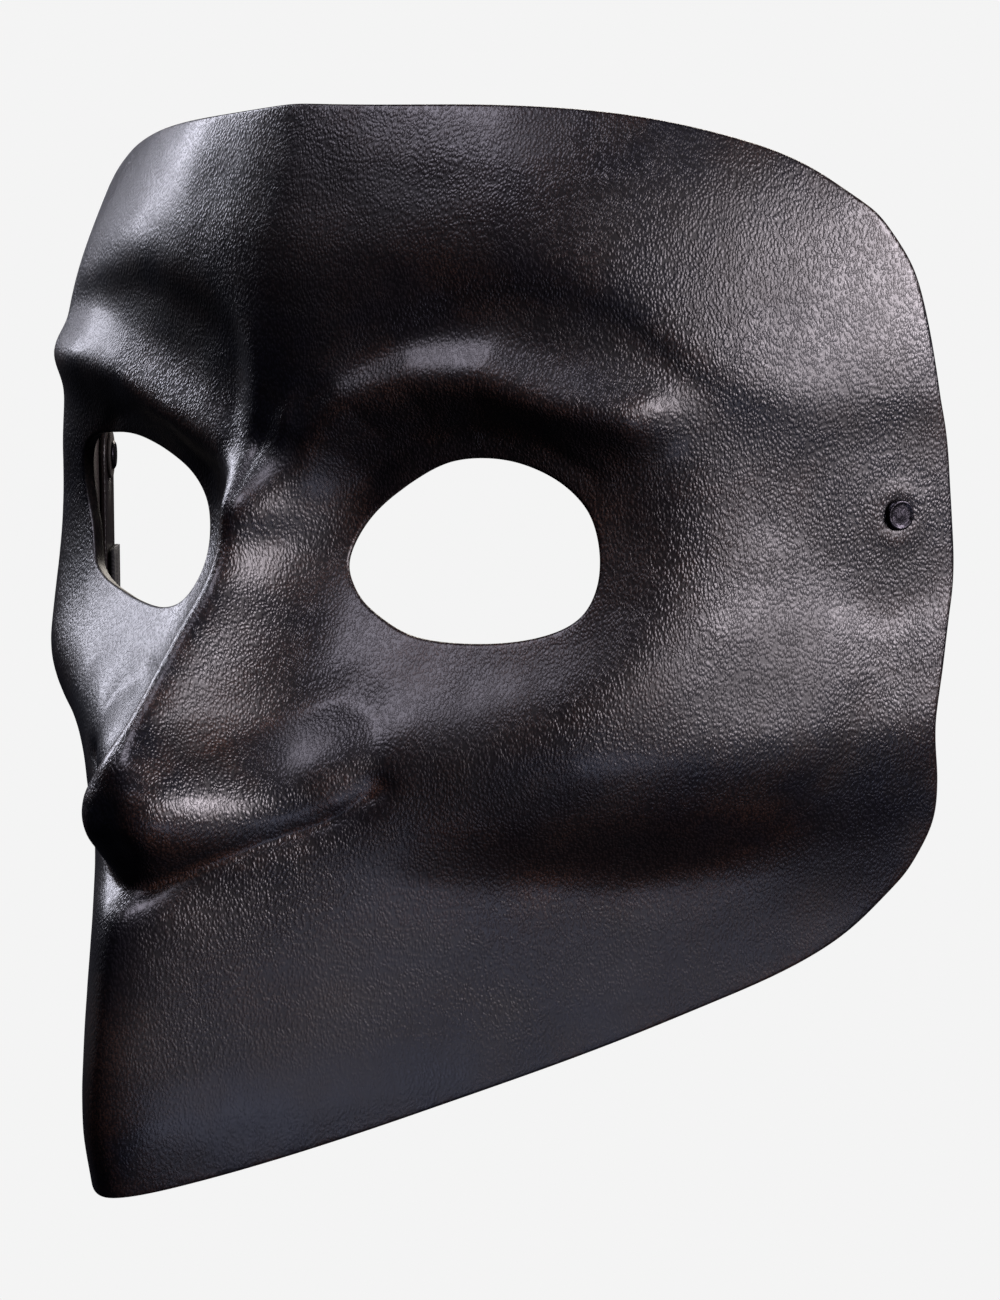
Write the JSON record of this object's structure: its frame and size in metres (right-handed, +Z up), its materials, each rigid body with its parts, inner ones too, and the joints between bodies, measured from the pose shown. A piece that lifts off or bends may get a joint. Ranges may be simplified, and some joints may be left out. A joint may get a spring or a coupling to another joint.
{
  "type": "half-prow face mask",
  "caption": "Rigid moulded leather face mask with eye holes, a long nose over a jutting prow, riveted side tabs and a sewn elastic.",
  "frame": {"origin": "middle of the open back on the eye line, level with the rear edges, where the wearer's face sits", "axes": "+Z up, the mask faces -Y, +X is the wearer's left"},
  "size_m": [0.1852, 0.129, 0.1768],
  "materials": {
    "mask_leather": "semi-gloss black aniline over brown",
    "tab_leather": "satin",
    "rivet_metal": "gunmetal, satin",
    "washer_fibre": "matte",
    "elastic": "woven",
    "thread": "waxed"
  },
  "bodies": {
    "mask": {"mask_shell": "mask_leather", "left_rivet_cap": "rivet_metal", "right_rivet_cap": "rivet_metal", "left_rivet_post": "rivet_metal", "right_rivet_post": "rivet_metal", "left_washer": "washer_fibre", "right_washer": "washer_fibre", "elastic_left": "elastic", "elastic_right": "elastic", "centre_stitching": "thread"},
    "left_strap_tab": {"left_tab": "tab_leather", "left_tab_stitching": "thread"},
    "right_strap_tab": {"right_tab": "tab_leather", "right_tab_stitching": "thread"}
  },
  "joints": [
    {"name": "left_tab_swivel", "type": "hinge", "parent": "mask", "child": "left_strap_tab", "pos_m": [0.087, -0.007, 0.0015], "axis": [0.8619, -0.507, 0], "range_deg": [-20, 110], "deforming": ["elastic_left"]},
    {"name": "right_tab_swivel", "type": "hinge", "parent": "mask", "child": "right_strap_tab", "pos_m": [-0.087, -0.007, 0.0015], "axis": [0.8619, 0.507, 0], "range_deg": [-20, 110], "deforming": ["elastic_right"]}
  ]
}
